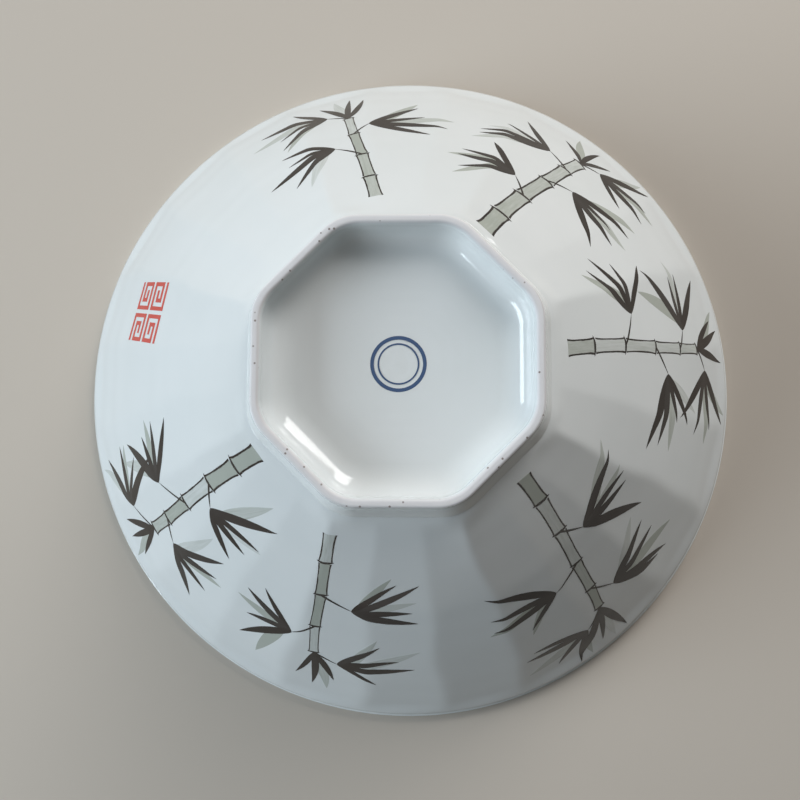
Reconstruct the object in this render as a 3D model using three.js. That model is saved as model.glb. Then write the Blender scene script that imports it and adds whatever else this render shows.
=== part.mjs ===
// A porcelain ramen bowl turned over on its rim, with its lid standing inside the bowl's mouth.
// Millimetres, +Z up. The origin is the middle of the rim circle, on the surface that the rim stands on.
import * as THREE from 'three';

// Driving dimensions of the bowl's shell
const RIM_RADIUS = 102.5; // outside of the round rim
const BOWL_HEIGHT = 75; // from the rim to the foot's standing face
const RIM_WALL = 3; // thickness of the wall at the mouth
const RIM_ROUND = 0.7; // rounding of the rim's two edges
const RIM_BAND_HEIGHT = 5; // the steeper band next to the rim
const RIM_BAND_INSET = 1.8; // how far that band draws in
const WALL = 4.2; // thickness of the sloping wall
const WALL_BULGE = 2.5; // how far the wall swells out beyond a straight slope
const BASE_WALL = 5; // thickness of the bowl's floor
const FLOOR_CURVE = 14; // reach of the curve between the inside wall and the floor

// Driving dimensions of the eight-sided foot
const FOOT_ACROSS_FLATS = 69; // outside, at the standing face
const FOOT_HEIGHT = 9; // from the base to the standing face
const FOOT_EDGE_WIDTH = 2.4; // thickness of the ring at its standing face
const FOOT_EDGE_ROUND = 0.8; // rounding of the standing face's two edges
const FOOT_FLARE = 2.5; // how far the root spreads beyond the standing face
const FOOT_CORNER_RADIUS = 12.5; // rounding of the eight corners, seen from above
const FOOT_INNER_CURVE = 7.6; // reach of the curve from the ring's inside to the base

// Driving dimensions of the lid
const LID_CLEARANCE = 0.35; // gap all round between the lid's edge and the bowl's mouth
const LID_EDGE_HEIGHT = 2.6; // upright edge at the lid's rim
const LID_EDGE_WIDTH = 3.2; // thickness of the lid at its rim
const LID_EDGE_ROUND = 0.6; // rounding of the lid's edge
const LID_CROWN_HEIGHT = 24; // from the lid's rim to the flat that carries the knob
const LID_WALL = 4; // thickness of the dome
const LID_BULGE = 3; // how far the dome swells out beyond a straight slope

// Driving dimensions of the lid's ring knob
const KNOB_ACROSS_FLATS = 46; // outside, at the knob's top
const KNOB_HEIGHT = 8; // from the crown to the knob's top
const KNOB_EDGE_WIDTH = 2.2; // thickness of the ring at its top
const KNOB_EDGE_ROUND = 0.7; // rounding of the top's two edges
const KNOB_FLARE = 1.5; // how far the root spreads beyond the top
const KNOB_CORNER_RADIUS = 8; // rounding of the eight corners, seen from above
const KNOB_INNER_CURVE = 5.5; // reach of the curve from the ring's inside to the crown

// Fineness of the surfaces
const SIDES = 8;
const STRIPS_PER_SIDE = 3; // flat strips of the wall that run up from each side of the foot
const STEPS_PER_SIDE = 12;
const WALL_STEPS = 8;
const CURVE_STEPS = 3;
const ROUND_STEPS = 1;

// Places that follow from the dimensions above
const BASE_Z = BOWL_HEIGHT - FOOT_HEIGHT;
const BASE_APOTHEM = FOOT_ACROSS_FLATS / 2 + FOOT_FLARE;
const MOUTH_RADIUS = RIM_RADIUS - RIM_WALL;
const LID_RADIUS = MOUTH_RADIUS - LID_CLEARANCE;
const CROWN_APOTHEM = KNOB_ACROSS_FLATS / 2 + KNOB_FLARE;

const FOOT_OUTLINE = { apothem: BASE_APOTHEM, cornerRadius: FOOT_CORNER_RADIUS };
const KNOB_OUTLINE = { apothem: CROWN_APOTHEM, cornerRadius: KNOB_CORNER_RADIUS };

const at = (radius, height) => new THREE.Vector2(radius, height);

// Carries a profile on from its last point, round a bend, to an end.
function bendTo(profile, bend, end, steps) {
  const curve = new THREE.QuadraticBezierCurve(profile.at(-1), bend, end);
  profile.push(...curve.getPoints(steps).slice(1));
}

// Carries a profile on to an end along a slope that swells to its right by the bulge.
function swellTo(profile, end, bulge, steps) {
  const start = profile.at(-1);
  const along = end.clone().sub(start).normalize();
  const right = at(along.y, -along.x);
  const bend = start.clone().add(end).multiplyScalar(0.5).addScaledVector(right, 2 * bulge);
  bendTo(profile, bend, end, steps);
}

// How far an eight-sided outline with round corners stands out beyond the circle inside it, at one angle.
function cornerReach(angle, { apothem, cornerRadius }) {
  const halfSide = Math.PI / SIDES;
  const fromFlat = Math.abs(THREE.MathUtils.euclideanModulo(angle + halfSide, 2 * halfSide) - halfSide);
  const roundFrom = Math.atan(((apothem - cornerRadius) * Math.tan(halfSide)) / apothem);
  if (fromFlat <= roundFrom) return apothem / Math.cos(fromFlat) - apothem;
  const toCorner = halfSide - fromFlat;
  const centre = (apothem - cornerRadius) / Math.cos(halfSide);
  const offCentre = centre * Math.sin(toCorner);
  return centre * Math.cos(toCorner) + Math.sqrt(cornerRadius ** 2 - offCentre ** 2) - apothem;
}

// The radius at one angle on the straight line between the two corners of the strip that the angle lies in.
function acrossStrip(angle, radiusAt) {
  const width = (2 * Math.PI) / (SIDES * STRIPS_PER_SIDE);
  const start = width * (Math.floor(angle / width + 0.5) - 0.5);
  const [from, to] = [radiusAt(start), radiusAt(start + width)];
  const across = angle - start;
  return (from * to * Math.sin(width)) / (from * Math.sin(across) + to * Math.sin(width - across));
}

// Turns a profile about Z. shares says how much of the eight-sided outline each of its points takes:
// 0 leaves it round, and 1 gives it the whole outline. flats says which of its points the flat strips cross.
function turned(profile, outline, shares, flats) {
  const steps = SIDES * STEPS_PER_SIDE;
  const geometry = new THREE.LatheGeometry(profile, steps);
  const position = geometry.getAttribute('position');
  for (let i = 0; i < position.count; i += 1) {
    const place = i % profile.length;
    const angle = (2 * Math.PI * Math.floor(i / profile.length)) / steps;
    const radiusAt = (turn) => profile[place].x + shares[place] * cornerReach(turn, outline);
    const radius = flats[place] ? acrossStrip(angle, radiusAt) : radiusAt(angle);
    position.setX(i, radius * Math.sin(angle));
    position.setZ(i, radius * Math.cos(angle));
  }
  return geometry.rotateX(Math.PI / 2);
}

function porcelainMesh(name, geometry, finish) {
  const mesh = new THREE.Mesh(geometry, new THREE.MeshStandardMaterial(finish));
  mesh.name = name;
  return mesh;
}

// True for the points of a wall's profile that its flat strips cross. They die out at its ends.
const flatsOf = (wall, first) => wall.map((_, i) => i >= first && i < wall.length - 1);
const none = (points) => points.map(() => 0);

// The shell: an even porcelain wall, eight-sided where it leaves the foot and round at the rim and inside.
// Three flat strips fan out over each side of the foot and die out under the round rim band.
// Its profile runs from the floor down the inside, across the rim and up the outside to the base.
function bowlShell() {
  const bandRadius = RIM_RADIUS - RIM_BAND_INSET;
  const runPerRise = (bandRadius - BASE_APOTHEM) / (BASE_Z - RIM_BAND_HEIGHT);
  const slopeLength = Math.hypot(1, runPerRise);
  const floorZ = BASE_Z - BASE_WALL;
  const floorCorner = at(BASE_APOTHEM + BASE_WALL * runPerRise - WALL * slopeLength, floorZ);
  const wallStart = floorCorner.clone();
  wallStart.x += (FLOOR_CURVE * runPerRise) / slopeLength;
  wallStart.y -= FLOOR_CURVE / slopeLength;

  const inside = [at(0, floorZ), at(floorCorner.x - FLOOR_CURVE, floorZ)];
  bendTo(inside, floorCorner, wallStart, CURVE_STEPS);
  swellTo(inside, at(MOUTH_RADIUS, LID_EDGE_HEIGHT + LID_CLEARANCE), -WALL_BULGE, WALL_STEPS);
  inside.push(at(MOUTH_RADIUS, RIM_ROUND));
  bendTo(inside, at(MOUTH_RADIUS, 0), at(MOUTH_RADIUS + RIM_ROUND, 0), ROUND_STEPS);
  inside.push(at(RIM_RADIUS - RIM_ROUND, 0));

  const outside = [at(RIM_RADIUS, RIM_ROUND), at(bandRadius, RIM_BAND_HEIGHT)];
  swellTo(outside, at(BASE_APOTHEM, BASE_Z), WALL_BULGE, WALL_STEPS);

  const profile = [...inside, ...outside, at(0, BASE_Z)];
  const wallShares = outside.map((point) => (point.y - RIM_ROUND) / (BASE_Z - RIM_ROUND));
  const shares = [...none(inside), ...wallShares, 0];
  return turned(profile, FOOT_OUTLINE, shares, [...none(inside), ...flatsOf(outside, 2), false]);
}

// An eight-sided ring that stands on a flat at floorZ: flared at its root, with a flat edge on top
// and a hollow curve inside. Its profile runs up the outside, across the edge and down the inside.
function standingRing(floorZ, size, outline) {
  const topZ = floorZ + size.height;
  const edge = size.acrossFlats / 2;
  const inner = edge - size.edgeWidth;
  const innerRoot = at(inner - size.innerCurve, floorZ);
  const profile = [innerRoot, at(edge + size.flare, floorZ)];
  bendTo(profile, at(edge, floorZ + size.flare), at(edge, topZ - size.edgeRound), CURVE_STEPS);
  bendTo(profile, at(edge, topZ), at(edge - size.edgeRound, topZ), ROUND_STEPS);
  profile.push(at(inner + size.edgeRound, topZ));
  bendTo(profile, at(inner, topZ), at(inner, topZ - size.edgeRound), ROUND_STEPS);
  profile.push(at(inner, floorZ + size.innerCurve));
  bendTo(profile, at(inner, floorZ), innerRoot, CURVE_STEPS);
  const shares = profile.map((point) => point.x / outline.apothem);
  return turned(profile, outline, shares, none(profile));
}

// The foot: the ring that the bowl stands on at table, stuck to the flat of the base with slip and fired on.
function octagonalFoot() {
  const size = {
    acrossFlats: FOOT_ACROSS_FLATS,
    height: FOOT_HEIGHT,
    edgeWidth: FOOT_EDGE_WIDTH,
    edgeRound: FOOT_EDGE_ROUND,
    flare: FOOT_FLARE,
    innerCurve: FOOT_INNER_CURVE,
  };
  return standingRing(BASE_Z, size, FOOT_OUTLINE);
}

// The lid's dome: a shallow shell that drops into the bowl's mouth, with flat strips like the bowl's.
// Its profile runs from the ceiling down the inside, across the rim and up the outside to the crown.
function lidDome() {
  const ceilingZ = LID_CROWN_HEIGHT - LID_WALL;
  const inside = [at(0, ceilingZ), at(CROWN_APOTHEM, ceilingZ)];
  swellTo(inside, at(LID_RADIUS - LID_EDGE_WIDTH, 0), -LID_BULGE, WALL_STEPS);
  inside.push(at(LID_RADIUS - LID_EDGE_ROUND, 0));
  bendTo(inside, at(LID_RADIUS, 0), at(LID_RADIUS, LID_EDGE_ROUND), ROUND_STEPS);

  const outside = [at(LID_RADIUS, LID_EDGE_HEIGHT)];
  swellTo(outside, at(CROWN_APOTHEM, LID_CROWN_HEIGHT), LID_BULGE, WALL_STEPS);

  const profile = [...inside, ...outside, at(0, LID_CROWN_HEIGHT)];
  const domeRise = LID_CROWN_HEIGHT - LID_EDGE_HEIGHT;
  const domeShares = outside.map((point) => (point.y - LID_EDGE_HEIGHT) / domeRise);
  const shares = [...none(inside), ...domeShares, 0];
  return turned(profile, KNOB_OUTLINE, shares, [...none(inside), ...flatsOf(outside, 1), false]);
}

// The lid's knob: a small ring of the foot's form, stuck to the crown and fired on.
function lidKnob() {
  const size = {
    acrossFlats: KNOB_ACROSS_FLATS,
    height: KNOB_HEIGHT,
    edgeWidth: KNOB_EDGE_WIDTH,
    edgeRound: KNOB_EDGE_ROUND,
    flare: KNOB_FLARE,
    innerCurve: KNOB_INNER_CURVE,
  };
  return standingRing(LID_CROWN_HEIGHT, size, KNOB_OUTLINE);
}

// Clear glaze over cool white porcelain, a little greyer where the foot and knob are handled.
const WHITE_GLAZE = { color: 0xeef1ef, roughness: 0.12, metalness: 0 };
const RING_GLAZE = { color: 0xe9ebe8, roughness: 0.2, metalness: 0 };

const bowl = new THREE.Group();
bowl.add(porcelainMesh('bowl_shell', bowlShell(), WHITE_GLAZE));
bowl.add(porcelainMesh('octagonal_foot', octagonalFoot(), RING_GLAZE));

const lid = new THREE.Group();
lid.add(porcelainMesh('lid_dome', lidDome(), WHITE_GLAZE));
lid.add(porcelainMesh('lid_knob', lidKnob(), RING_GLAZE));

const ramenBowl = new THREE.Group();
ramenBowl.add(bowl, lid);

export default ramenBowl;
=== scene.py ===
import math
import random

import bmesh
import bpy
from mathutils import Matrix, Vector


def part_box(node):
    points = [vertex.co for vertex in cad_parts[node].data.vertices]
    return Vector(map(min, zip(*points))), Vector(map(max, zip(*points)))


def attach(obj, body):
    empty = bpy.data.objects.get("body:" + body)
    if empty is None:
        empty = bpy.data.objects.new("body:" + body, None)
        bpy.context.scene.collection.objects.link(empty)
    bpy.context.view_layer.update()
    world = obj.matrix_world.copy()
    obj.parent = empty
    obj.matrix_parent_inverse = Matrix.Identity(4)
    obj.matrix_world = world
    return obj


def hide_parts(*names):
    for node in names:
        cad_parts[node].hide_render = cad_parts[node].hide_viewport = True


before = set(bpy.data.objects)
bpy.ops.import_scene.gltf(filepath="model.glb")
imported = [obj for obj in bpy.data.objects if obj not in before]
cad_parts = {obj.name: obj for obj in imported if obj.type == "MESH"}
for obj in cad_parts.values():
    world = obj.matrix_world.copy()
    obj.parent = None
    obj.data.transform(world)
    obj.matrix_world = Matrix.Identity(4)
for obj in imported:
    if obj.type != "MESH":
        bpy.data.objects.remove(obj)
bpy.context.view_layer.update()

# The shell: the bowl's own body, formed in a mould from white porcelain clay and dipped in clear glaze.
# Its outside is cut by hand into 24 flat strips, three over each side of the foot, up to the round rim.
# Its inside is round, and the base carries the foot on a flat.
MM = 0.001
SIDES = 8
STRIPS = 24
STRIP_FADE = 4.0 * MM
EDGE_SOFTNESS = math.radians(0.75)
EDGE_WANDER = math.radians(0.6)
SWING_LENGTH = 9.0 * MM
SWING_SHIFT = 2.4
SHAKE_LENGTH = 3.5 * MM
SHAKE_SHIFT = 5.1
SHAKE_SHARE = 0.6
SPIN_STEPS = 384
MERGE_DISTANCE = 0.0005 * MM
SHARP_ANGLE = math.radians(40)
shell_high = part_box("bowl_shell")[1]
foot_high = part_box("octagonal_foot")[1]
RIM_RADIUS = shell_high.x
BASE_Z = shell_high.z
BASE_APOTHEM = foot_high.x
RIM_WALL = 3.0 * MM
RIM_ROUND = 0.7 * MM
RIM_BAND_HEIGHT = 5.0 * MM
RIM_BAND_INSET = 1.8 * MM
RIM_LIP = 0.5 * MM
ROOT_GROOVE = 0.15 * MM
ROOT_GROOVE_WIDTH = 0.8 * MM
WALL_RIPPLE = 0.025 * MM
WALL_RIPPLE_LENGTH = 8.5 * MM
WALL_RIPPLE_SWAY = 1.3
WALL_RIPPLE_SWAY_RATE = 0.37
WALL = 4.2 * MM
WALL_BULGE = 2.5 * MM
BASE_WALL = 5.0 * MM
FLOOR_CURVE = 14.0 * MM
MOUTH_BAND = 2.95 * MM
FOOT_CORNER_RADIUS = 12.5 * MM
RECESS_APOTHEM = 24.5 * MM
RECESS_DISH = 0.5 * MM
THROWING_RING = 3.2 * MM
THROWING_DEPTH = 0.012 * MM
WALL_STEPS = 84
WALL_STEPS_TO_GROOVE = 80
GROOVE_FROM = 0.955
GROOVE_STEPS = 300
GROOVE_POINTS = 13
BASE_STEPS = 60
PORCELAIN = (0.76, 0.785, 0.785, 1.0)
PORCELAIN_SHADE = (0.70, 0.735, 0.73, 1.0)
IRON = (0.16, 0.11, 0.08, 1.0)
IRON_SPECKS = {"scale": 170.0, "size": 0.07, "rarity": 0.93}
SPECK_CORE = 0.43
GLAZE_IOR = 1.5
GLAZE_ROUGHNESS = (0.05, 0.12)
MOTTLE_SCALE = 38.0
MOTTLE_ROUGHNESS = 0.55
GLAZE_RIPPLE_SCALE = 55.0
GLAZE_RIPPLE_STRENGTH = 0.25
GLAZE_RIPPLE_HEIGHT = 0.25 * MM


def at(radius, height, share=0.0, flat=0.0):
    """A profile point: radius, height, and its shares of the eight-sided outline and of the flat strips."""
    return Vector((radius, height, share, flat))


def bend(profile, control, end, steps):
    """Carries a profile on from its last point, round a control point, to an end."""
    start = profile[-1]
    for step in range(1, steps + 1):
        t = step / steps
        profile.append(start * (1 - t) ** 2 + control * (2 * t * (1 - t)) + end * t**2)


def swell(start, end, bulge):
    """The control point of a slope that swells to its right by the bulge."""
    run, rise = end.x - start.x, end.y - start.y
    length = math.hypot(run, rise)
    middle = (start + end) / 2
    return middle + at(rise / length, -run / length) * (2 * bulge)


def corner_reach(angle, apothem, corner_radius):
    """How far an eight-sided outline with round corners stands out beyond the circle inside it."""
    half_side = math.pi / SIDES
    from_flat = abs((angle + half_side) % (2 * half_side) - half_side)
    round_from = math.atan((apothem - corner_radius) * math.tan(half_side) / apothem)
    if from_flat <= round_from:
        return apothem / math.cos(from_flat) - apothem
    to_corner = half_side - from_flat
    centre = (apothem - corner_radius) / math.cos(half_side)
    off_centre = centre * math.sin(to_corner)
    return centre * math.cos(to_corner) + math.sqrt(corner_radius**2 - off_centre**2) - apothem


def strip_edge(index, height):
    """The bearing of the edge between two strips, which the hand that cuts them lets wander a little."""
    count = index % STRIPS
    swing = math.sin(SWING_SHIFT * count + height / SWING_LENGTH)
    shake = math.sin(SHAKE_SHIFT * count + height / SHAKE_LENGTH)
    return 2 * math.pi / STRIPS * (index - 0.5) + EDGE_WANDER * (swing + SHAKE_SHARE * shake)


def outline_radius(angle, point, outline):
    """How far out a profile point stands at an angle, with its shares of the corners and the strips."""
    index = math.floor(angle / (2 * math.pi / STRIPS) + 0.5)
    if angle < strip_edge(index, point.y):
        index -= 1
    elif angle > strip_edge(index + 1, point.y):
        index += 1
    start, stop = strip_edge(index, point.y), strip_edge(index + 1, point.y)
    rounded = point.x + point.z * corner_reach(angle, *outline)
    before = point.x + point.z * corner_reach(start, *outline)
    after = point.x + point.z * corner_reach(stop, *outline)
    leaning = before * math.sin(angle - start) + after * math.sin(stop - angle)
    straight = before * after * math.sin(stop - start) / leaning
    return rounded + point.w * (straight - rounded)


def soft_radius(angle, point, outline):
    """The same with the edges between the strips softened, as under a thick glaze."""
    if not point.w:
        return point.x + point.z * corner_reach(angle, *outline)
    turns = (angle - EDGE_SOFTNESS, angle, angle + EDGE_SOFTNESS)
    return sum(outline_radius(turn, point, outline) for turn in turns) / 3


def spun_piece(name, profile, outline, material, closed=False):
    """A body spun about Z from its profile, with corners and flat strips by each point's shares."""
    bm = bmesh.new()
    index_layer = bm.verts.layers.int.new("profile_point")
    verts = []
    for index, point in enumerate(profile):
        vert = bm.verts.new((point.x, 0, point.y))
        vert[index_layer] = index
        verts.append(vert)
    pairs = list(zip(verts, verts[1:]))
    if closed:
        pairs.append((verts[-1], verts[0]))
    edges = [bm.edges.new(pair) for pair in pairs]
    bmesh.ops.spin(
        bm, geom=verts + edges, cent=(0, 0, 0), axis=(0, 0, 1), angle=2 * math.pi,
        steps=SPIN_STEPS, use_merge=True,
    )
    bmesh.ops.remove_doubles(bm, verts=bm.verts, dist=MERGE_DISTANCE)
    for vert in bm.verts:
        point = profile[vert[index_layer]]
        if point.z:
            angle = math.atan2(vert.co.y, vert.co.x)
            scale = soft_radius(angle, point, outline) / point.x
            vert.co.x *= scale
            vert.co.y *= scale
    bmesh.ops.recalc_face_normals(bm, faces=bm.faces)
    for face in bm.faces:
        face.smooth = True
    for edge in bm.edges:
        edge.smooth = edge.calc_face_angle() < SHARP_ANGLE
    return finished(name, bm, material)


def finished(name, bm, material):
    """Turns a bmesh into a named object in the scene with its material."""
    mesh = bpy.data.meshes.new(name)
    bm.to_mesh(mesh)
    bm.free()
    mesh.materials.append(material)
    piece = bpy.data.objects.new(name, mesh)
    bpy.context.scene.collection.objects.link(piece)
    return piece


def new_node(material, kind, **settings):
    """Adds a shader node. Settings named like an input set its value, and the others are properties."""
    node = material.node_tree.nodes.new(kind)
    for key, value in settings.items():
        if key in node.inputs:
            node.inputs[key].default_value = value
        else:
            setattr(node, key, value)
    return node


def link(material, source, target):
    """Joins one node's output to another's input."""
    material.node_tree.links.new(source, target)


def specks(material, place, scale, size, rarity):
    """A mask of round specks, in the few cells of a fine pattern whose random number passes the rarity."""
    cells = new_node(material, "ShaderNodeTexVoronoi", Scale=scale)
    link(material, place.outputs["Object"], cells.inputs["Vector"])
    dot = new_node(material, "ShaderNodeMapRange", interpolation_type="SMOOTHSTEP")
    dot.inputs["From Min"].default_value = size
    dot.inputs["From Max"].default_value = SPECK_CORE * size
    link(material, cells.outputs["Distance"], dot.inputs["Value"])
    chosen = new_node(material, "ShaderNodeMath", operation="GREATER_THAN")
    chosen.inputs[1].default_value = rarity
    link(material, cells.outputs["Color"], chosen.inputs[0])
    speck = new_node(material, "ShaderNodeMath", operation="MULTIPLY")
    link(material, dot.outputs["Result"], speck.inputs[0])
    link(material, chosen.outputs["Value"], speck.inputs[1])
    return speck.outputs["Value"]


def glaze(name):
    """Clear gloss glaze over white porcelain: a faint mottle, a few iron specks and a gentle ripple.
    Returns the material, its shader and the socket that carries the porcelain's colour."""
    material = bpy.data.materials.new(name)
    material.use_nodes = True
    shader = material.node_tree.nodes["Principled BSDF"]
    shader.inputs["IOR"].default_value = GLAZE_IOR
    place = new_node(material, "ShaderNodeTexCoord")

    mottle = new_node(
        material, "ShaderNodeTexNoise", Scale=MOTTLE_SCALE, Detail=3.0, Roughness=MOTTLE_ROUGHNESS
    )
    link(material, place.outputs["Object"], mottle.inputs["Vector"])
    white = new_node(material, "ShaderNodeMix", data_type="RGBA")
    white.inputs["A"].default_value = PORCELAIN
    white.inputs["B"].default_value = PORCELAIN_SHADE
    link(material, mottle.outputs["Fac"], white.inputs["Factor"])

    body = new_node(material, "ShaderNodeMix", data_type="RGBA")
    body.inputs["B"].default_value = IRON
    link(material, specks(material, place, **IRON_SPECKS), body.inputs["Factor"])
    link(material, white.outputs["Result"], body.inputs["A"])
    link(material, body.outputs["Result"], shader.inputs["Base Color"])

    gloss = new_node(material, "ShaderNodeMapRange")
    gloss.inputs["To Min"].default_value = GLAZE_ROUGHNESS[0]
    gloss.inputs["To Max"].default_value = GLAZE_ROUGHNESS[1]
    link(material, mottle.outputs["Fac"], gloss.inputs["Value"])
    link(material, gloss.outputs["Result"], shader.inputs["Roughness"])

    ripple = new_node(material, "ShaderNodeTexNoise", Scale=GLAZE_RIPPLE_SCALE, Detail=1.0)
    link(material, place.outputs["Object"], ripple.inputs["Vector"])
    bump = new_node(
        material, "ShaderNodeBump", Strength=GLAZE_RIPPLE_STRENGTH, Distance=GLAZE_RIPPLE_HEIGHT
    )
    link(material, ripple.outputs["Fac"], bump.inputs["Height"])
    link(material, bump.outputs["Normal"], shader.inputs["Normal"])
    return material, shader, body.outputs["Result"]


band_radius = RIM_RADIUS - RIM_BAND_INSET
mouth_radius = RIM_RADIUS - RIM_WALL
run_per_rise = (band_radius - BASE_APOTHEM) / (BASE_Z - RIM_BAND_HEIGHT)
slope_length = math.hypot(1, run_per_rise)
floor_z = BASE_Z - BASE_WALL
floor_corner = at(BASE_APOTHEM + BASE_WALL * run_per_rise - WALL * slope_length, floor_z)
inner_start = floor_corner + at(FLOOR_CURVE * run_per_rise / slope_length, -FLOOR_CURVE / slope_length)
band_top = at(band_radius, RIM_BAND_HEIGHT, RIM_BAND_HEIGHT / BASE_Z)
wall_root = at(BASE_APOTHEM, BASE_Z, 1)

shell_profile = [at(0, floor_z), at(floor_corner.x - FLOOR_CURVE, floor_z)]
bend(shell_profile, floor_corner, inner_start, steps=10)
mouth_top = at(mouth_radius, MOUTH_BAND)
bend(shell_profile, swell(inner_start, mouth_top, -WALL_BULGE), mouth_top, steps=36)
shell_profile.append(at(mouth_radius, RIM_ROUND))
bend(shell_profile, at(mouth_radius, 0), at(mouth_radius + RIM_ROUND, 0), steps=5)
shell_profile.append(at(RIM_RADIUS - RIM_ROUND, 0))
bend(shell_profile, at(RIM_RADIUS, 0), at(RIM_RADIUS, RIM_ROUND), steps=5)
lip_end = at(RIM_RADIUS - RIM_LIP, RIM_ROUND + RIM_LIP)
bend(shell_profile, at(RIM_RADIUS, lip_end.y), lip_end, steps=5)
bend(shell_profile, at(band_radius + RIM_LIP, lip_end.y + RIM_LIP), band_top, steps=8)
wall_control = swell(band_top, wall_root, WALL_BULGE)


def strip_share(height, low, high):
    """1 along a wall, falling to 0 at both ends, where its flat strips die out."""
    into = min(height - low, high - height) / STRIP_FADE
    into = min(max(into, 0), 1)
    return into * into * (3 - 2 * into)


def wall_point(t):
    """The wall's profile from its top at the rim band (0) to its root at the foot (1)."""
    point = band_top * (1 - t) ** 2 + wall_control * (2 * t * (1 - t)) + wall_root * t**2
    point.w = strip_share(point.y, band_top.y, wall_root.y)
    turn = 2 * math.pi * point.x / WALL_RIPPLE_LENGTH
    sway = WALL_RIPPLE_SWAY * math.sin(WALL_RIPPLE_SWAY_RATE * turn)
    point.x += WALL_RIPPLE * point.w * math.sin(turn + sway)
    point.y -= ROOT_GROOVE * math.exp(-(((wall_root.y - point.y) / ROOT_GROOVE_WIDTH) ** 2))
    return point


shell_profile += [wall_point(step / WALL_STEPS) for step in range(1, WALL_STEPS_TO_GROOVE + 1)]
shell_profile += [wall_point(GROOVE_FROM + step / GROOVE_STEPS) for step in range(1, GROOVE_POINTS + 1)]
shell_profile.append(wall_point(1))
shell_profile.append(at(RECESS_APOTHEM, BASE_Z, RECESS_APOTHEM / BASE_APOTHEM))
for step in reversed(range(BASE_STEPS)):
    reach = step / BASE_STEPS
    radius = RECESS_APOTHEM * reach
    dish = RECESS_DISH * (1 - reach**2) ** 2
    ring = THROWING_DEPTH * math.sin(2 * math.pi * radius / THROWING_RING) * (1 - reach**4)
    shell_profile.append(at(radius, BASE_Z - dish + ring, radius / BASE_APOTHEM))

bowl_glaze = glaze("bowl_glaze")[0]
FOOT_OUTLINE = (BASE_APOTHEM, FOOT_CORNER_RADIUS)
shell = spun_piece("bowl_shell_porcelain", shell_profile, FOOT_OUTLINE, bowl_glaze)
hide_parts("bowl_shell")
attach(shell, "bowl")

# The foot: the eight-sided ring that the bowl stands on at table, stuck to the base with slip and glazed.
# Its standing edge is wiped clean of glaze before firing, so it is dull, with a few specks of kiln dust.
FOOT_EDGE_WIDTH = 2.4 * MM
FOOT_EDGE_ROUND = 0.8 * MM
FOOT_FLARE = 2.5 * MM
FOOT_INNER_CURVE = 7.6 * MM
FLARE_LEAN = 0.2
FLARE_RISE = 1.5
INNER_ROUND_WIDTH = 1.3
INNER_ROUND_DEPTH = 2.0
BARE_DEPTH = 0.55 * MM
BARE_CLAY = (0.715, 0.705, 0.71, 1.0)
BARE_ROUGHNESS = 0.5
GLAZED_ROUGHNESS = 0.1
GLAZE_LINE_SCALE = 260.0
GLAZE_LINE_WANDER = 0.25 * MM
KILN_DUST = (0.20, 0.16, 0.145, 1.0)
DUST_SPECKS = {"scale": 1000.0, "size": 0.36, "rarity": 0.8}


def ring_profile(root_z, top_z, root, flare, edge_width, edge_round, inner_curve):
    """An eight-sided ring's profile, from its inner root up the outside and down the hollow inside."""
    edge = root - flare
    inner = edge - edge_width
    waist = at(edge + FLARE_LEAN * flare, root_z + FLARE_RISE * flare)
    inner_top = at(inner + INNER_ROUND_WIDTH * edge_round, top_z)
    inner_side = at(inner, top_z - INNER_ROUND_DEPTH * edge_round)
    profile = [at(inner - inner_curve, root_z), at(root, root_z)]
    bend(profile, waist, at(edge, top_z - edge_round), steps=20)
    bend(profile, at(edge, top_z), at(edge - edge_round, top_z), steps=6)
    bend(profile, at(edge - edge_width / 2, top_z), inner_top, steps=3)
    bend(profile, at(inner, top_z), inner_side, steps=10)
    bend(profile, at(inner, root_z), at(inner - inner_curve, root_z), steps=26)
    return [at(point.x, point.y, point.x / root) for point in profile[:-1]]


def bare_edge(material, shader, colour, top_z):
    """Turns the top of a ring into dull unglazed clay, with a ragged glaze line and kiln dust."""
    place = new_node(material, "ShaderNodeTexCoord")
    height = new_node(material, "ShaderNodeSeparateXYZ")
    link(material, place.outputs["Object"], height.inputs["Vector"])
    wander = new_node(material, "ShaderNodeTexNoise", Scale=GLAZE_LINE_SCALE, Detail=2.0)
    link(material, place.outputs["Object"], wander.inputs["Vector"])
    ragged = new_node(material, "ShaderNodeMath", operation="MULTIPLY_ADD")
    ragged.inputs[1].default_value = GLAZE_LINE_WANDER
    link(material, wander.outputs["Fac"], ragged.inputs[0])
    link(material, height.outputs["Z"], ragged.inputs[2])
    bare = new_node(material, "ShaderNodeMapRange", interpolation_type="SMOOTHSTEP")
    bare.inputs["From Min"].default_value = top_z - BARE_DEPTH
    bare.inputs["From Max"].default_value = top_z
    link(material, ragged.outputs["Value"], bare.inputs["Value"])

    clay = new_node(material, "ShaderNodeMix", data_type="RGBA")
    clay.inputs["A"].default_value = BARE_CLAY
    clay.inputs["B"].default_value = KILN_DUST
    link(material, specks(material, place, **DUST_SPECKS), clay.inputs["Factor"])
    surface = new_node(material, "ShaderNodeMix", data_type="RGBA")
    link(material, bare.outputs["Result"], surface.inputs["Factor"])
    link(material, colour, surface.inputs["A"])
    link(material, clay.outputs["Result"], surface.inputs["B"])
    link(material, surface.outputs["Result"], shader.inputs["Base Color"])
    dull = new_node(material, "ShaderNodeMapRange")
    dull.inputs["To Min"].default_value = GLAZED_ROUGHNESS
    dull.inputs["To Max"].default_value = BARE_ROUGHNESS
    link(material, bare.outputs["Result"], dull.inputs["Value"])
    link(material, dull.outputs["Result"], shader.inputs["Roughness"])


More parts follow.
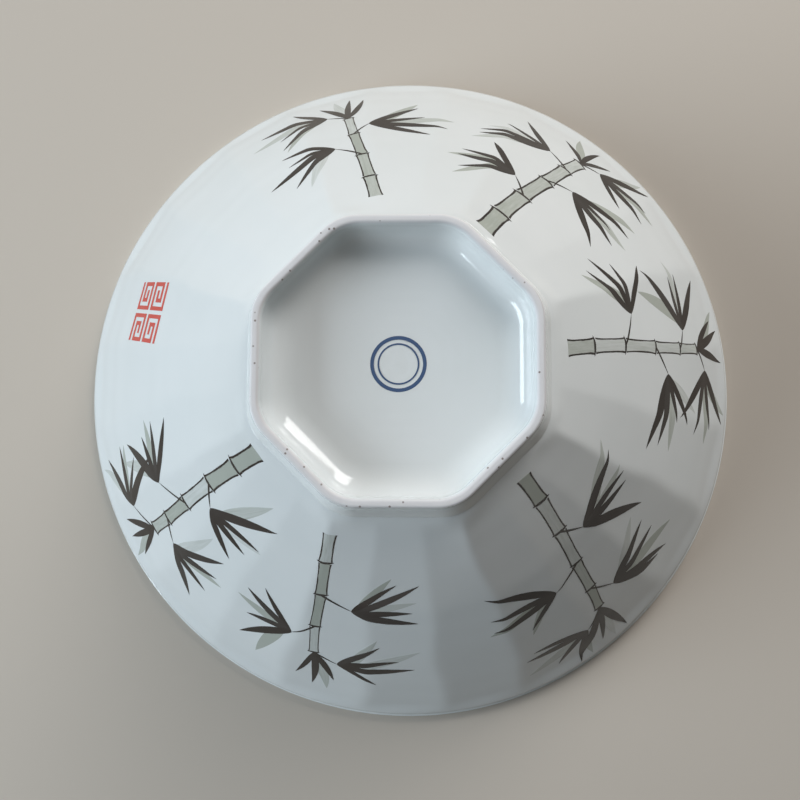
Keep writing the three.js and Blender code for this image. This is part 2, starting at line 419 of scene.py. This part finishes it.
foot_glaze, foot_shader, foot_colour = glaze("foot_glaze")
bare_edge(foot_glaze, foot_shader, foot_colour, foot_high.z)
foot_profile = ring_profile(
    BASE_Z, foot_high.z, BASE_APOTHEM, FOOT_FLARE, FOOT_EDGE_WIDTH, FOOT_EDGE_ROUND, FOOT_INNER_CURVE
)
foot = spun_piece("octagonal_foot_porcelain", foot_profile, FOOT_OUTLINE, foot_glaze, closed=True)
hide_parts("octagonal_foot")
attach(foot, "bowl")

# The bamboo: canes and leaves brushed on the outside wall in brown-black ink, with a thin grey-green wash.
# The paint lies under the clear glaze, so each stroke is a very thin strip that follows the wall.
INK = (0.014, 0.009, 0.007, 1.0)
WASH = (0.30, 0.33, 0.27, 1.0)
WASH_LIFT = 0.014 * MM
CANE_LIFT = 0.024 * MM
LEAF_LIFT = 0.034 * MM
LAYER_STEP = 0.0002 * MM
PAINT_THICKNESS = 0.03 * MM
STROKE_COLUMNS = 6
STROKE_ROWS = 24
STROKE_VERTS = (STROKE_COLUMNS + 1) * (STROKE_ROWS + 1)
STREAK_STRETCH = (5.0, 1.3, 1.0)
STREAK_SHIFT = (19.0, 19.0, 19.0)
STREAK_SCALE = 1.6
STREAK_ROUGHNESS = 0.6
STREAK_RANGE = (0.3, 1.2)
OUTLINE_WOBBLE = 0.16
OUTLINE_RANGE = (0.44, 0.49)
WALL_MARGIN = 0.5 * MM
RIM_MARGIN = 2.0 * MM
LEAST_CLIMB = 0.05
CANE_LENGTHS = (10.0 * MM, 12.5 * MM, 14.0 * MM, 13.0 * MM, 10.0 * MM)
CANE_WAIST = 0.9
CANE_SPREAD = 0.14
CANE_TAPER = 0.94
CANE_SWAY = (-0.06, 0.06)
JOINT_GAP = 0.7 * MM
JOINT_REACH = 0.62
JOINT_WIDTH = 0.75 * MM
JOINT_BOW = 0.3
JOINT_ROWS = 6
TWIG_START = 1.05
TWIG_WIDTH = 0.6 * MM
TWIG_LENGTH = (7.0 * MM, 12.0 * MM)
TWIG_TURN = (0.6, 0.95)
TWIG_BOW = 0.2
TWIG_ROWS = 8
SPRAY_TURN = (0.5, 1.0)
SPRAY_LEAVES = 4
TOP_TURN = (-0.4, 0.4)
TOP_LEAVES = 3
LEAF_LENGTH = (14.0 * MM, 23.0 * MM)
LEAF_WIDTH = (0.15, 0.2)
LEAF_FAN = (0.38, 0.52)
LEAF_BOW = (-0.35, 0.35)
LEAF_FULLNESS = 2.1
LEAF_STALK = 0.01
LEAF_STALK_SWELL = 0.62
LEAF_TIP = 0.001
LEAF_TIP_TAPER = 0.95
PALE_LEAF_SHIFT = (1.0 * MM, 4.0 * MM)
PALE_LEAF_DRIFT = (0.2, 0.5)
PALE_LEAF_WIDTH = 0.24
wall_length = math.hypot(band_top.x - wall_root.x, wall_root.y - band_top.y)
brush = random.Random(12)


def on_wall(angle, along, lift):
    """A place on the outside wall, so far along its slope from the foot to the rim, and lifted off it."""
    t = 1 - along / wall_length
    point = wall_point(t)
    slope = (wall_control - band_top) * (1 - t) + (wall_root - wall_control) * t
    steepness = math.hypot(slope.x, slope.y)
    radius = soft_radius(angle, point, FOOT_OUTLINE) + lift * slope.y / steepness
    height = point.y - lift * slope.x / steepness
    return Vector((radius * math.cos(angle), radius * math.sin(angle), height))


def moved(place, heading, distance):
    """The place that a brush reaches from another. Heading 0 is to the rim, and it turns anticlockwise."""
    angle, along = place
    reached = along + distance * math.cos(heading)
    return angle + distance * math.sin(heading) / on_wall(angle, reached, 0).xy.length, reached


def stroke(bm, place, heading, length, width, shape, lift, bow=0.0, rows=STROKE_ROWS):
    """One brush stroke: a strip along the wall whose width follows a shape, and whose tone is its own."""
    tone_layer = bm.verts.layers.float["tone"]
    tone = brush.random()
    strip = bmesh.ops.create_grid(
        bm, x_segments=STROKE_COLUMNS, y_segments=rows, size=1, calc_uvs=True
    )
    for vert in strip["verts"]:
        reach = (vert.co.y + 1) / 2
        aside = vert.co.x * width / 2 * shape(reach)
        turn = heading + bow * reach
        around = length * (reach * math.sin(heading) + bow * reach**2 / 2 * math.cos(heading))
        upward = length * (reach * math.cos(heading) - bow * reach**2 / 2 * math.sin(heading))
        around += aside * math.cos(turn)
        along = place[1] + upward - aside * math.sin(turn)
        along = min(max(along, WALL_MARGIN), wall_length - WALL_MARGIN)
        vert.co = on_wall(place[0] + around / on_wall(place[0], along, 0).xy.length, along, lift)
        vert[tone_layer] = tone


def leaf_shape(reach):
    """Broad near the stalk, with a long fine tip."""
    stalk = (reach + LEAF_STALK) ** LEAF_STALK_SWELL
    tip = (1 + LEAF_TIP - reach) ** LEAF_TIP_TAPER
    return LEAF_FULLNESS * stalk * tip


def cane_shape(reach):
    """Straight-sided, and spread a little at both ends."""
    return CANE_WAIST + CANE_SPREAD * (2 * reach - 1) ** 4


def twig_shape(reach):
    """Even, then drawn out to a point."""
    return TWIG_START - reach**3


def new_paint():
    """An empty coat of paint, with a UV map and room for the tone of each stroke."""
    bm = bmesh.new()
    bm.loops.layers.uv.new("UVMap")
    bm.verts.layers.float.new("tone")
    return bm


def painted(name, pigment, lightest, darkest, outlined=False):
    """Glaze with a pigment under it, which the stroke's own tone and its dry streaks thin out.
    An outlined stroke has a line of ink along both sides."""
    material, shader, porcelain = glaze(name)
    place = new_node(material, "ShaderNodeTexCoord")
    stretch = new_node(material, "ShaderNodeMapping")
    stretch.inputs["Scale"].default_value = STREAK_STRETCH
    link(material, place.outputs["UV"], stretch.inputs["Vector"])
    tone = new_node(material, "ShaderNodeAttribute", attribute_name="tone")
    shifted = new_node(material, "ShaderNodeVectorMath", operation="MULTIPLY_ADD")
    shifted.inputs[1].default_value = STREAK_SHIFT
    link(material, tone.outputs["Vector"], shifted.inputs[0])
    link(material, stretch.outputs["Vector"], shifted.inputs[2])
    streak = new_node(
        material, "ShaderNodeTexNoise", Scale=STREAK_SCALE, Detail=4.0, Roughness=STREAK_ROUGHNESS
    )
    link(material, shifted.outputs["Vector"], streak.inputs["Vector"])
    mixed = new_node(material, "ShaderNodeMath", operation="ADD")
    link(material, streak.outputs["Fac"], mixed.inputs[0])
    link(material, tone.outputs["Fac"], mixed.inputs[1])
    strength = new_node(material, "ShaderNodeMapRange")
    strength.inputs["From Min"].default_value = STREAK_RANGE[0]
    strength.inputs["From Max"].default_value = STREAK_RANGE[1]
    strength.inputs["To Min"].default_value = lightest
    strength.inputs["To Max"].default_value = darkest
    link(material, mixed.outputs["Value"], strength.inputs["Value"])
    surface = new_node(material, "ShaderNodeMix", data_type="RGBA")
    surface.inputs["B"].default_value = pigment
    link(material, strength.outputs["Result"], surface.inputs["Factor"])
    link(material, porcelain, surface.inputs["A"])
    link(material, surface.outputs["Result"], shader.inputs["Base Color"])
    if outlined:
        across = new_node(material, "ShaderNodeSeparateXYZ")
        link(material, place.outputs["UV"], across.inputs["Vector"])
        from_middle = new_node(material, "ShaderNodeMath", operation="SUBTRACT")
        from_middle.inputs[1].default_value = 0.5
        link(material, across.outputs["X"], from_middle.inputs[0])
        to_side = new_node(material, "ShaderNodeMath", operation="ABSOLUTE")
        link(material, from_middle.outputs["Value"], to_side.inputs[0])
        wobble = new_node(material, "ShaderNodeMath", operation="MULTIPLY_ADD")
        wobble.inputs[1].default_value = OUTLINE_WOBBLE
        link(material, streak.outputs["Fac"], wobble.inputs[0])
        link(material, to_side.outputs["Value"], wobble.inputs[2])
        line = new_node(material, "ShaderNodeMapRange", interpolation_type="SMOOTHSTEP")
        line.inputs["From Min"].default_value = OUTLINE_RANGE[0]
        line.inputs["From Max"].default_value = OUTLINE_RANGE[1]
        link(material, wobble.outputs["Value"], line.inputs["Value"])
        inked = new_node(material, "ShaderNodeMix", data_type="RGBA")
        inked.inputs["B"].default_value = INK
        link(material, line.outputs["Result"], inked.inputs["Factor"])
        link(material, surface.outputs["Result"], inked.inputs["A"])
        link(material, inked.outputs["Result"], shader.inputs["Base Color"])
    return material


def paint_layer(name, bm, material):
    """Gives a finished coat of paint its thickness and fixes it to the bowl."""
    for face in bm.faces:
        face.smooth = True
    for edge in bm.edges:
        edge.smooth = not edge.is_boundary
    bmesh.ops.recalc_face_normals(bm, faces=bm.faces)
    piece = finished(name, bm, material)
    body = piece.modifiers.new("paint_thickness", "SOLIDIFY")
    body.thickness = PAINT_THICKNESS
    body.offset = -1.0
    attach(piece, "bowl")


def room_ahead(place, heading):
    """How long a stroke can be before it runs into the rim band."""
    return (wall_length - RIM_MARGIN - place[1]) / max(math.cos(heading), LEAST_CLIMB)


def next_lift(paint, lift):
    """A shade higher for each stroke already laid down, so that no two strokes share a surface."""
    return lift + LAYER_STEP * len(paint.verts) / STROKE_VERTS


def leaf_spray(place, heading, count):
    """A fan of leaves that hangs from a twig's end, with paler leaves behind it."""
    for index in range(count):
        fan = (index - (count - 1) / 2) * brush.uniform(*LEAF_FAN)
        bow = brush.uniform(*LEAF_BOW)
        length = min(brush.uniform(*LEAF_LENGTH), room_ahead(place, heading + fan))
        width = length * brush.uniform(*LEAF_WIDTH)
        lift = next_lift(leaves, LEAF_LIFT)
        stroke(leaves, place, heading + fan, length, width, leaf_shape, lift, bow)
        if index % 2:
            aside = moved(place, heading, brush.uniform(*PALE_LEAF_SHIFT))
            drift = heading + fan + brush.uniform(*PALE_LEAF_DRIFT)
            reach = min(length, room_ahead(aside, drift))
            lift = next_lift(washes, WASH_LIFT)
            stroke(washes, aside, drift, reach, PALE_LEAF_WIDTH * length, leaf_shape, lift, bow)


def bamboo(angle, lean, width, sections, start):
    """One cane in sections from the foot towards the rim, with twigs and leaves from its joints.
    Its bearing and lean are in degrees, and its start is measured along the wall from the foot."""
    place = (math.radians(angle), start)
    heading = math.radians(lean)
    for index, length in enumerate(CANE_LENGTHS[:sections]):
        stroke(canes, place, heading, length, width, cane_shape, CANE_LIFT)
        end = moved(place, heading, length + JOINT_GAP / 2)
        for side in (-1, 1):
            across = heading + side * math.pi / 2
            reach = JOINT_REACH * width
            lift = next_lift(leaves, LEAF_LIFT)
            stroke(leaves, end, across, reach, JOINT_WIDTH, twig_shape, lift, JOINT_BOW * side, JOINT_ROWS)
        if index:
            side = 1 if (index + angle) % 2 else -1
            branch = heading + side * brush.uniform(*TWIG_TURN)
            reach = brush.uniform(*TWIG_LENGTH)
            lift = next_lift(leaves, LEAF_LIFT)
            stroke(leaves, end, branch, reach, TWIG_WIDTH, twig_shape, lift, TWIG_BOW * side, TWIG_ROWS)
            twig_end = moved(end, branch + TWIG_BOW / 2 * side, reach)
            leaf_spray(twig_end, branch + side * brush.uniform(*SPRAY_TURN), SPRAY_LEAVES)
        place = moved(place, heading, length + JOINT_GAP)
        heading += brush.uniform(*CANE_SWAY)
        width *= CANE_TAPER
    leaf_spray(place, heading + brush.uniform(*TOP_TURN), TOP_LEAVES)


canes, leaves, washes = new_paint(), new_paint(), new_paint()
bamboo(angle=6, lean=4, width=4.4 * MM, sections=5, start=6.0 * MM)
bamboo(angle=58, lean=-4, width=5.8 * MM, sections=5, start=3.0 * MM)
bamboo(angle=98, lean=6, width=3.8 * MM, sections=4, start=9.0 * MM)
bamboo(angle=212, lean=-5, width=5.4 * MM, sections=5, start=4.0 * MM)
bamboo(angle=248, lean=6, width=3.6 * MM, sections=4, start=8.0 * MM)
bamboo(angle=318, lean=-6, width=4.4 * MM, sections=5, start=5.0 * MM)
paint_layer("bamboo_wash", washes, painted("wash_paint", WASH, lightest=0.15, darkest=0.75))
cane_paint = painted("cane_paint", WASH, lightest=0.2, darkest=0.8, outlined=True)
paint_layer("bamboo_canes", canes, cane_paint)
paint_layer("bamboo_leaves", leaves, painted("ink_paint", INK, lightest=0.97, darkest=1.0))

# The fret: a red block of square spirals, four of them turned towards one another.
# It is printed on the outside wall under the clear glaze, in a coat as thin as the bamboo's.
FRET_RED = (0.60, 0.045, 0.025, 1.0)
FRET_SPAN = 18.0 * MM
FRET_ANGLE = math.radians(165)
FRET_ALONG = 54.0 * MM
SPIRAL = 7
fret_cells = 2 * SPIRAL + 1


def spiral_line(size):
    """The cells of a square spiral that winds inwards with one empty cell between its turns."""
    x, y, step_x, step_y = 0, 0, 1, 0
    cells = {(x, y)}
    for run in [size - 1] + [length for length in range(size - 1, 0, -2) for _ in range(2)]:
        for _ in range(run):
            x, y = x + step_x, y + step_y
            cells.add((x, y))
        step_x, step_y = -step_y, step_x
    return cells


fret = new_paint()
spiral = spiral_line(SPIRAL)
bmesh.ops.create_grid(
    fret, x_segments=2 * fret_cells, y_segments=2 * fret_cells, size=1, calc_uvs=True
)
empty = []
for face in fret.faces:
    middle = face.calc_center_median()
    column = int((middle.x + 1) / 2 * fret_cells)
    row = int((middle.y + 1) / 2 * fret_cells)
    cell = (min(column, fret_cells - 1 - column), min(row, fret_cells - 1 - row))
    if cell not in spiral:
        empty.append(face)
bmesh.ops.delete(fret, geom=empty, context="FACES")
for vert in fret.verts:
    around = vert.co.x * FRET_SPAN / 2
    along = FRET_ALONG + vert.co.y * FRET_SPAN / 2
    vert.co = on_wall(FRET_ANGLE + around / on_wall(FRET_ANGLE, along, 0).xy.length, along, CANE_LIFT)
paint_layer("red_fret", fret, painted("red_paint", FRET_RED, lightest=0.94, darkest=1.0))

# The base rings: two plain rings in cobalt blue on the base inside the foot.
# They are drawn with a brush while the bowl turns on the wheel, and glazed over.
COBALT = (0.012, 0.06, 0.17, 1.0)
BASE_RINGS = ((6.0 * MM, 6.9 * MM), (4.7 * MM, 5.1 * MM))
RING_LIFT = 0.12 * MM
RING_STEPS = 96
ring_z = BASE_Z - RECESS_DISH + RING_LIFT
rings = new_paint()
for inner_and_outer in BASE_RINGS:
    pair = [rings.verts.new((radius, 0, ring_z)) for radius in inner_and_outer]
    line = rings.edges.new(pair)
    bmesh.ops.spin(
        rings, geom=pair + [line], cent=(0, 0, 0), axis=(0, 0, 1), angle=2 * math.pi,
        steps=RING_STEPS, use_merge=True,
    )
paint_layer("base_rings", rings, painted("blue_paint", COBALT, lightest=0.94, darkest=1.0))

# The lid: a shallow porcelain dome that drops into the bowl's mouth, formed and glazed like the shell.
# Under the overturned bowl it stands on its own edge.
LID_EDGE_HEIGHT = 2.6 * MM
LID_EDGE_WIDTH = 3.2 * MM
LID_EDGE_ROUND = 0.6 * MM
LID_WALL = 4.0 * MM
LID_BULGE = 3.0 * MM
LID_STEPS = 40
KNOB_CORNER_RADIUS = 8.0 * MM
lid_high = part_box("lid_dome")[1]
knob_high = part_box("lid_knob")[1]
crown_z = lid_high.z
crown_apothem = knob_high.x
lid_radius = lid_high.x
ceiling = at(crown_apothem, crown_z - LID_WALL)
lid_mouth = at(lid_radius - LID_EDGE_WIDTH, 0)
lid_shoulder = at(lid_radius, LID_EDGE_HEIGHT)
crown = at(crown_apothem, crown_z, 1)
lid_profile = [at(0, ceiling.y), ceiling]
bend(lid_profile, swell(ceiling, lid_mouth, -LID_BULGE), lid_mouth, steps=30)
lid_profile.append(at(lid_radius - LID_EDGE_ROUND, 0))
bend(lid_profile, at(lid_radius, 0), at(lid_radius, LID_EDGE_ROUND), steps=4)
lid_profile.append(lid_shoulder)
bend(lid_profile, swell(lid_shoulder, crown, LID_BULGE), crown, LID_STEPS)
for point in lid_profile[-LID_STEPS:]:
    point.w = strip_share(point.y, lid_shoulder.y, crown.y)
lid_profile.append(at(0, crown_z))
lid_glaze = glaze("lid_glaze")[0]
KNOB_OUTLINE = (crown_apothem, KNOB_CORNER_RADIUS)
lid = spun_piece("lid_dome_porcelain", lid_profile, KNOB_OUTLINE, lid_glaze)
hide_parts("lid_dome")
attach(lid, "lid")

# The knob: a small eight-sided ring on the lid's crown, stuck on with slip and fired on as the foot is.
# The lid rests on it when it lies on its back, so its top edge is bare clay too.
KNOB_EDGE_WIDTH = 2.2 * MM
KNOB_EDGE_ROUND = 0.7 * MM
KNOB_FLARE = 1.5 * MM
KNOB_INNER_CURVE = 5.5 * MM
knob_glaze, knob_shader, knob_colour = glaze("knob_glaze")
bare_edge(knob_glaze, knob_shader, knob_colour, knob_high.z)
knob_profile = ring_profile(
    crown_z, knob_high.z, crown_apothem, KNOB_FLARE, KNOB_EDGE_WIDTH, KNOB_EDGE_ROUND, KNOB_INNER_CURVE
)
knob = spun_piece("lid_knob_porcelain", knob_profile, KNOB_OUTLINE, knob_glaze, closed=True)
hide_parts("lid_knob")
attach(knob, "lid")

# The stage: a plain pale floor under the rim, matt so that it shows no glare in a low view.
# Far from the bowl it passes into a pale backdrop, which is seen and gives no light of its own.
FLOOR_REACH = 4.0
FLOOR_ROUGHNESS = 0.9
FLOOR_SHEEN = 0.1
FLOOR_PALE = (0.56, 0.505, 0.44, 1.0)
BACKDROP_PALE = (0.60, 0.565, 0.52, 1.0)
BACKDROP_FROM = 0.22
BACKDROP_TO = 0.9


def seen_rays(material):
    """1 for rays that show a thing to the camera, straight or reflected, and 0 for rays that light it."""
    path = new_node(material, "ShaderNodeLightPath")
    shown = new_node(material, "ShaderNodeMath", operation="MAXIMUM")
    link(material, path.outputs["Is Camera Ray"], shown.inputs[0])
    link(material, path.outputs["Is Glossy Ray"], shown.inputs[1])
    either = new_node(material, "ShaderNodeMath", operation="MAXIMUM")
    link(material, shown.outputs["Value"], either.inputs[0])
    link(material, path.outputs["Is Transmission Ray"], either.inputs[1])
    return either.outputs["Value"]


floor_bm = bmesh.new()
bmesh.ops.create_grid(floor_bm, x_segments=1, y_segments=1, size=FLOOR_REACH)
floor_material = bpy.data.materials.new("pale_floor")
floor_material.use_nodes = True
floor_shader = floor_material.node_tree.nodes["Principled BSDF"]
floor_shader.inputs["Base Color"].default_value = FLOOR_PALE
floor_shader.inputs["Roughness"].default_value = FLOOR_ROUGHNESS
floor_shader.inputs["Specular IOR Level"].default_value = FLOOR_SHEEN
floor_place = new_node(floor_material, "ShaderNodeTexCoord")
from_bowl = new_node(floor_material, "ShaderNodeVectorMath", operation="LENGTH")
link(floor_material, floor_place.outputs["Object"], from_bowl.inputs[0])
far_off = new_node(floor_material, "ShaderNodeMapRange", interpolation_type="SMOOTHSTEP")
far_off.inputs["From Min"].default_value = BACKDROP_FROM
far_off.inputs["From Max"].default_value = BACKDROP_TO
link(floor_material, from_bowl.outputs["Value"], far_off.inputs["Value"])
backdrop_share = new_node(floor_material, "ShaderNodeMath", operation="MULTIPLY")
link(floor_material, far_off.outputs["Result"], backdrop_share.inputs[0])
link(floor_material, seen_rays(floor_material), backdrop_share.inputs[1])
backdrop = new_node(floor_material, "ShaderNodeEmission", Color=BACKDROP_PALE)
floor_mix = new_node(floor_material, "ShaderNodeMixShader")
link(floor_material, backdrop_share.outputs["Value"], floor_mix.inputs["Fac"])
link(floor_material, floor_shader.outputs["BSDF"], floor_mix.inputs[1])
link(floor_material, backdrop.outputs["Emission"], floor_mix.inputs[2])
floor_output = floor_material.node_tree.nodes["Material Output"]
link(floor_material, floor_mix.outputs["Shader"], floor_output.inputs["Surface"])
floor = finished("floor", floor_bm, floor_material)

# The light: two soft boxes, one to the left and one beyond the bowl to the right, under a faint even sky.
# The sky that the camera sees is the pale backdrop.
BOX_DISTANCE = 1.1
SKY_TINT = (0.93, 0.96, 1.0, 1.0)
SKY_STRENGTH = 0.03
scene = bpy.context.scene
scene.view_settings.view_transform = "Standard"
world = bpy.data.worlds.new("studio")
world.use_nodes = True
sky = world.node_tree.nodes["Background"]
sky.inputs["Color"].default_value = SKY_TINT
sky.inputs["Strength"].default_value = SKY_STRENGTH
pale_sky = new_node(world, "ShaderNodeBackground", Color=BACKDROP_PALE)
sky_mix = new_node(world, "ShaderNodeMixShader")
link(world, seen_rays(world), sky_mix.inputs["Fac"])
link(world, sky.outputs["Background"], sky_mix.inputs[1])
link(world, pale_sky.outputs["Background"], sky_mix.inputs[2])
link(world, sky_mix.outputs["Shader"], world.node_tree.nodes["World Output"].inputs["Surface"])
scene.world = world


def soft_box(name, bearing, height_angle, width, height, power, tint):
    """A rectangular soft box that faces the bowl from a bearing and a height, hidden from the camera."""
    bearing, height_angle = math.radians(bearing), math.radians(height_angle)
    level = BOX_DISTANCE * math.cos(height_angle)
    rise = BOX_DISTANCE * math.sin(height_angle)
    place = Vector((level * math.cos(bearing), level * math.sin(bearing), rise))
    lamp = bpy.data.lights.new(name, "AREA")
    lamp.shape = "RECTANGLE"
    lamp.size = width
    lamp.size_y = height
    lamp.energy = power
    lamp.color = tint
    box = bpy.data.objects.new(name, lamp)
    box.location = place
    box.rotation_euler = place.to_track_quat("Z", "Y").to_euler()
    box.visible_camera = False
    scene.collection.objects.link(box)


soft_box(
    "left_soft_box", bearing=190, height_angle=26, width=0.9, height=0.4,
    power=11.4, tint=(0.80, 0.91, 1.0),
)
soft_box(
    "far_soft_box", bearing=63, height_angle=33, width=0.4, height=0.95,
    power=11.0, tint=(1.0, 0.99, 0.98),
)

# The camera: above the overturned bowl and a little towards the viewer, where the photo was taken from.
# Its field of view is a phone camera's, and its turn is in degrees.
CAMERA_PLACE = Vector((7.5, -25.7, 258.9)) * MM
CAMERA_TURN = (5.0, 2.07, 0.29)
FILM_WIDTH = 36.0
LENS = 36.0
NEAREST_SEEN = 10.0 * MM
camera_data = bpy.data.cameras.new("photo_camera")
camera_data.sensor_width = FILM_WIDTH
camera_data.lens = LENS
camera_data.clip_start = NEAREST_SEEN
camera = bpy.data.objects.new("photo_camera", camera_data)
camera.location = CAMERA_PLACE
camera.rotation_euler = [math.radians(turn) for turn in CAMERA_TURN]
scene.collection.objects.link(camera)
scene.camera = camera
